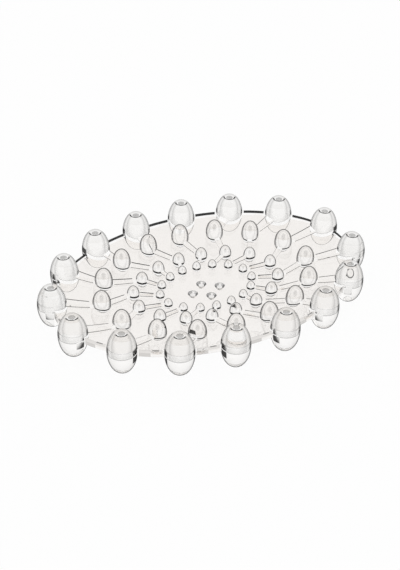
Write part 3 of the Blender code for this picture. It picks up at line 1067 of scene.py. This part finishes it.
def buildPlate():
    shell = Shell()
    top = [ribOutline(number) for number in range(dish["drops"])]
    under = [circle(centre, stud["diameter"] / 2, stud["facets"])
             for centre in ringPoints("stud", stud["count"], 0.0)]
    for name, drop in innerDrops.items():
        for centre in ringPoints(name):
            top.append(circle(centre, eggRadius(drop, 0.0), drop["segments"]))
            under.append(circle(centre, eggRadius(drop, -float(thickness(centre))), drop["segments"]))
    loops = [plateFace(shell, 1, top)]
    bottomRim = plateFace(shell, -1, under)
    for index in range(1, len(edgeLevels) - 1):
        loops.append(shell.ring(levelPoint(edgeLevels[index], edgeRun(index))))
    loops.append(bottomRim)
    for row, (high, low) in enumerate(zip(loops, loops[1:])):
        shell.band(low, high, edgeKinds(row))
    return makePiece("dishPlate", shell, normals=plateNormals(shell, loops))


# The pieces

def numbered(name):
    return [f"{name}_{number:02d}" for number in range(1, dish["drops"] + 1)]


dress(buildPlate(), ["dish_plate"])
dress(buildRimDrops("rimDropCaps", 1), numbered("rim_drop_upper"))
dress(buildRimDrops("rimDropFeet", -1), numbered("rim_drop_lower"))
dress(buildRays(), numbered("drop_ray"))
dress(buildEggs("lowerEnds", -1, ("clearEnd", "bond", "cupShadeLine")), ["dish_plate"])
dress(buildStuds(), [f"centre_stud_{number}" for number in range(1, stud["count"] + 1)])


# Floor, light and camera

studio = {
    "elevation": 34.94,
    "heading": 28.32,
    "roll": 0.83,
    "distance": 493.3 * mm,
    "focal": 1187.2,  # in pixels of the 400 by 570 frame
    "frameWidth": 400,
    "frameHeight": 570,
    "aimX": 206.49,  # where in that frame the dish's centre is
    "aimY": 277.19,
    "nearest": 10 * mm,
    "floorHalf": 3.0,
    "floorDrop": 0.1 * mm,
    "grey": 0.9,  # of the floor and of the light from all round
    "glow": 0.95,  # how much of the floor is plain white to the eye, the rest takes the shadow
    "bounces": 64,
}


def buildCamera():
    lift, turn, roll = (math.radians(studio[key]) for key in ("elevation", "heading", "roll"))
    right = Vector((math.cos(turn), -math.sin(turn), 0.0))
    ahead = Vector((math.sin(turn) * math.cos(lift), math.cos(turn) * math.cos(lift), -math.sin(lift)))
    up = right.cross(ahead)
    side = right * math.cos(roll) + up * math.sin(roll)
    top = up * math.cos(roll) - right * math.sin(roll)
    camera = bpy.data.objects.new("camera", bpy.data.cameras.new("camera"))
    axes = Matrix((side, top, -ahead)).transposed().to_4x4()
    camera.matrix_world = Matrix.Translation(Vector((0, 0, equator)) - ahead * studio["distance"]) @ axes
    camera.data.lens = studio["focal"] * camera.data.sensor_width / studio["frameHeight"]
    camera.data.shift_x = (studio["frameWidth"] / 2 - studio["aimX"]) / studio["frameHeight"]
    camera.data.shift_y = (studio["aimY"] - studio["frameHeight"] / 2) / studio["frameHeight"]
    camera.data.clip_start = studio["nearest"]
    scene.collection.objects.link(camera)
    scene.camera = camera


def seenDirectly(tree):
    # 1 where the eye meets the background, also in a reflection or through the clear plastic.
    rays = [addNode(tree, "ShaderNodeLightPath", output=kind)
            for kind in ("Is Camera Ray", "Is Glossy Ray", "Is Transmission Ray")]
    return rays[0].maths("MAXIMUM", rays[0], rays[1].maths("MAXIMUM", rays[1], rays[2]))


def backdropShader(tree, kind, level):
    return addNode(tree, kind, inputs={"Color": (level, level, level, 1.0)})


def buildFloor():
    mesh = bpy.data.meshes.new("floor")
    half = studio["floorHalf"]
    corners = [(x * half, y * half, -studio["floorDrop"]) for x, y in ((-1, -1), (1, -1), (1, 1), (-1, 1))]
    mesh.from_pydata(corners, [], [(0, 1, 2, 3)])
    floor = bpy.data.objects.new("floor", mesh)
    scene.collection.objects.link(floor)
    material = bpy.data.materials.new("paleFloor")
    tree = newTree(material)
    matt = backdropShader(tree, "ShaderNodeBsdfDiffuse", studio["grey"])
    white = backdropShader(tree, "ShaderNodeEmission", 1.0)
    finish(tree, mixShaders(tree, seenDirectly(tree) * studio["glow"], matt, white))
    mesh.materials.append(material)
    floor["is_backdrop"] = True


def buildWorld():
    world = bpy.data.worlds.new("room")
    tree = newTree(world)
    light, white = (backdropShader(tree, "ShaderNodeBackground", level) for level in (studio["grey"], 1.0))
    finish(tree, mixShaders(tree, seenDirectly(tree), light, white), "World")
    scene.world = world


buildCamera()
buildFloor()
buildWorld()
scene.view_settings.view_transform = "Standard"
for limit in ("max_bounces", "transparent_max_bounces", "transmission_bounces", "glossy_bounces"):
    setattr(scene.cycles, limit, studio["bounces"])
print("camera, floor and light: done")

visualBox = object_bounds()
for name, box in (("cad", cadBox), ("visual", visualBox)):
    print(name, [tuple(round(c / mm, 2) for c in corner) for corner in box])
